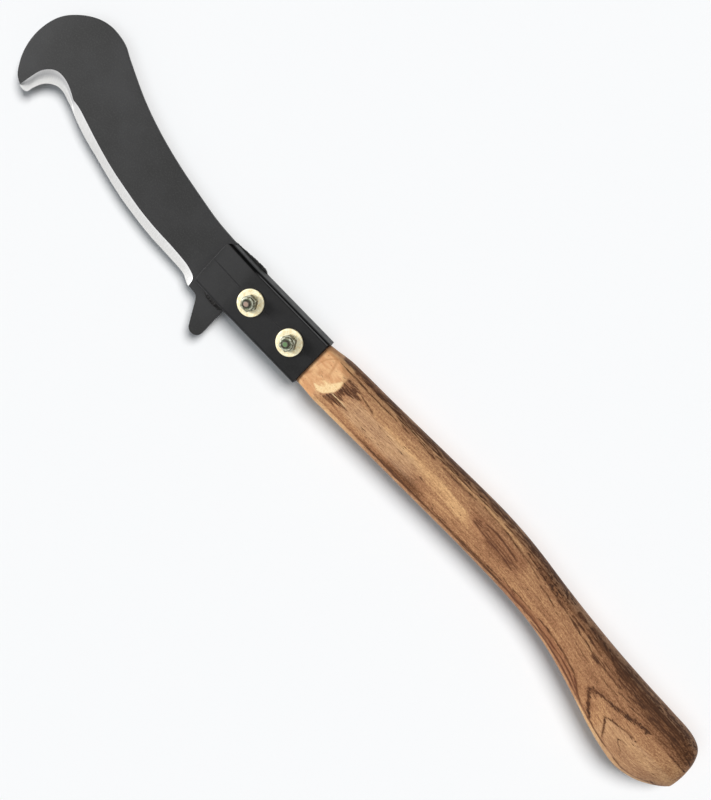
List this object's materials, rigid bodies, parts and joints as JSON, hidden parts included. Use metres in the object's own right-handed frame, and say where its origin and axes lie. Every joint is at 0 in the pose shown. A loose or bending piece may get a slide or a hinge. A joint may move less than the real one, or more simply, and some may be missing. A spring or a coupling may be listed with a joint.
{
  "type": "brush axe",
  "caption": "Hooked brush axe: a ground steel blade welded into a folded socket that is bolted to a curved wooden handle.",
  "frame": {"origin": "middle of the bounding box in X and Y, at the lowest point of the tool as it lies with its nuts up", "axes": "+X along the tool from the butt to the hook, +Y towards the cutting edge, +Z from the bolt heads to the nuts"},
  "size_m": [0.7071, 0.1182, 0.0362],
  "materials": {
    "dark_coating": "satin",
    "weld_metal": "satin",
    "ground_steel": "satin",
    "handle_wood": "satin",
    "plated_steel": "satin",
    "yellow_plating": "satin",
    "nylon": "matte"
  },
  "bodies": {
    "root": {"blade": "dark_coating", "socket": "dark_coating", "weld_spine": "weld_metal", "weld_belly_front": "weld_metal", "weld_belly_back": "weld_metal", "handle": "handle_wood", "bolt_fore": "plated_steel", "bolt_aft": "plated_steel", "nut_washer_fore": "yellow_plating", "nut_washer_aft": "yellow_plating", "head_washer_fore": "yellow_plating", "head_washer_aft": "yellow_plating", "lock_nut_fore": "plated_steel", "lock_nut_aft": "plated_steel", "nut_insert_fore": "nylon", "nut_insert_aft": "nylon"}
  },
  "joints": []
}
